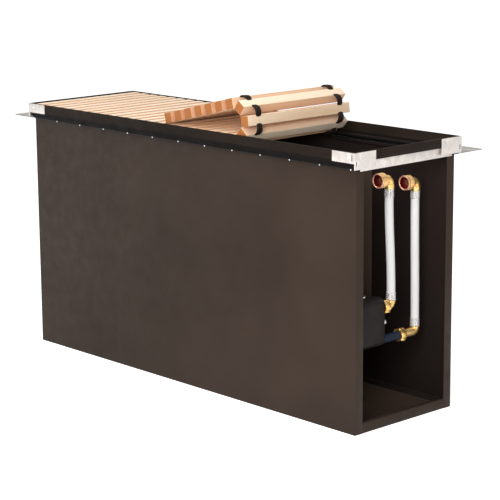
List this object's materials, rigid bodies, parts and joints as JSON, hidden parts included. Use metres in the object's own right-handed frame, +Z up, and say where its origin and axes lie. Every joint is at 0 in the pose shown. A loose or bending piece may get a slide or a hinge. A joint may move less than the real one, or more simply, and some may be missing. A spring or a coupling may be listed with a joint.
{
  "type": "trench convector heater",
  "caption": "Tall lacquered steel trench casing with a finned heat exchanger, two flexible risers, a metal grille frame and a roll-up wooden slat grille partly folded back.",
  "frame": {"origin": "centre of the casing's underside", "axes": "+X along the casing towards the open service end, +Y from the near long side towards the side with the wide flange, +Z up"},
  "size_m": [0.9768, 0.3337, 0.5611],
  "materials": {
    "casing": "satin dark brown lacquer",
    "galvanised": "zinc-coated, dull bright",
    "rail": "satin bronze-brown anodised look",
    "wood": "oiled pale hardwood",
    "rubber": "matt black",
    "fin": "plain sheet",
    "copper": "copper, slightly dull",
    "collector": "dark grey insulation",
    "chrome": "polished",
    "brass": "machined brass",
    "hose": "white smooth jacket",
    "ferrule": "crimped, bright",
    "washer": "dark red fibre",
    "stub": "dark blue-grey"
  },
  "bodies": {
    "casing": {"near_wall": "casing", "far_wall": "casing", "floor_pan": "casing", "closed_end_panel": "casing", "air_guide": "casing", "near_flange": "galvanised", "far_flange": "galvanised", "closed_end_flange": "galvanised", "service_end_bar": "galvanised", "near_closed_corner_bracket": "galvanised", "far_closed_corner_bracket": "galvanised", "near_service_corner_bracket": "galvanised", "far_service_corner_bracket": "galvanised", "exchanger_bracket_1": "galvanised", "exchanger_bracket_2": "galvanised", "near_rail": "rail", "far_rail": "rail", "near_ledge": "rail", "far_ledge": "rail", "closed_end_rail": "rail", "service_end_rail": "rail", "near_rubber_strip": "rubber", "far_rubber_strip": "rubber", "fin_pack": "fin", "upper_exchanger_tube": "copper", "lower_exchanger_tube": "copper", "return_bend": "copper", "collector": "collector", "near_closed_corner_screw": "chrome", "far_closed_corner_screw": "chrome", "near_service_corner_screw": "chrome", "far_service_corner_screw": "chrome", "vent_body": "chrome", "upper_port_nut": "brass", "upper_port_elbow": "brass", "lower_port_nut": "brass", "lower_port_elbow": "brass", "flow_union_elbow": "brass", "return_union_elbow": "brass", "flow_lower_ferrule": "ferrule", "flow_upper_ferrule": "ferrule", "return_lower_ferrule": "ferrule", "return_upper_ferrule": "ferrule", "flow_hose": "hose", "return_hose": "hose", "flow_union_washer": "washer", "return_union_washer": "washer", "return_stub": "stub"},
    "grille": {"flat_slats": "wood"},
    "curl_1": {"first_curl_slat": "wood"},
    "curl_2": {"second_curl_slat": "wood", "near_spacer_2": "rubber", "far_spacer_2": "rubber"},
    "curl_3": {"third_curl_slat": "wood", "near_spacer_3": "rubber", "far_spacer_3": "rubber"},
    "folded_grille": {"ramp_slats": "wood"},
    "flow_nut": {"flow_union_nut": "brass"},
    "return_nut": {"return_union_nut": "brass"},
    "vent": {"vent_screw": "chrome"}
  },
  "joints": [
    {"name": "grille_lift", "type": "slide", "parent": "casing", "child": "grille", "axis": [0, 0, 1], "range_m": [0, 0.08]},
    {"name": "unroll_1", "type": "hinge", "parent": "grille", "child": "curl_1", "pos_m": [0.1617, 0, 0.486], "axis": [0, 1, 0], "range_deg": [0, 48.46]},
    {"name": "unroll_2", "type": "hinge", "parent": "curl_1", "child": "curl_2", "pos_m": [0.18093, 0, 0.50771], "axis": [0, 1, 0], "range_deg": [0, 48.46]},
    {"name": "unroll_3", "type": "hinge", "parent": "curl_2", "child": "curl_3", "pos_m": [0.17744, 0, 0.53649], "axis": [0, 1, 0], "range_deg": [0, 48.46]},
    {"name": "unroll_4", "type": "hinge", "parent": "curl_3", "child": "folded_grille", "pos_m": [0.15358, 0, 0.55297], "axis": [0, 1, 0], "range_deg": [0, 48.46]},
    {"name": "flow_union_turn", "type": "hinge", "parent": "casing", "child": "flow_nut", "pos_m": [0.3998, -0.0115, 0.428], "axis": [0, 1, 0], "continuous": true},
    {"name": "return_union_turn", "type": "hinge", "parent": "casing", "child": "return_nut", "pos_m": [0.3998, 0.0565, 0.416], "axis": [0, 1, 0], "continuous": true},
    {"name": "vent_turn", "type": "hinge", "parent": "casing", "child": "vent", "pos_m": [0.3998, 0.003, 0.172], "axis": [0, 1, 0], "range_deg": [0, 180]}
  ],
  "couplings": [
    {"joint": "unroll_2", "follows": "unroll_1", "ratio": 1},
    {"joint": "unroll_3", "follows": "unroll_1", "ratio": 1},
    {"joint": "unroll_4", "follows": "unroll_1", "ratio": 1}
  ]
}
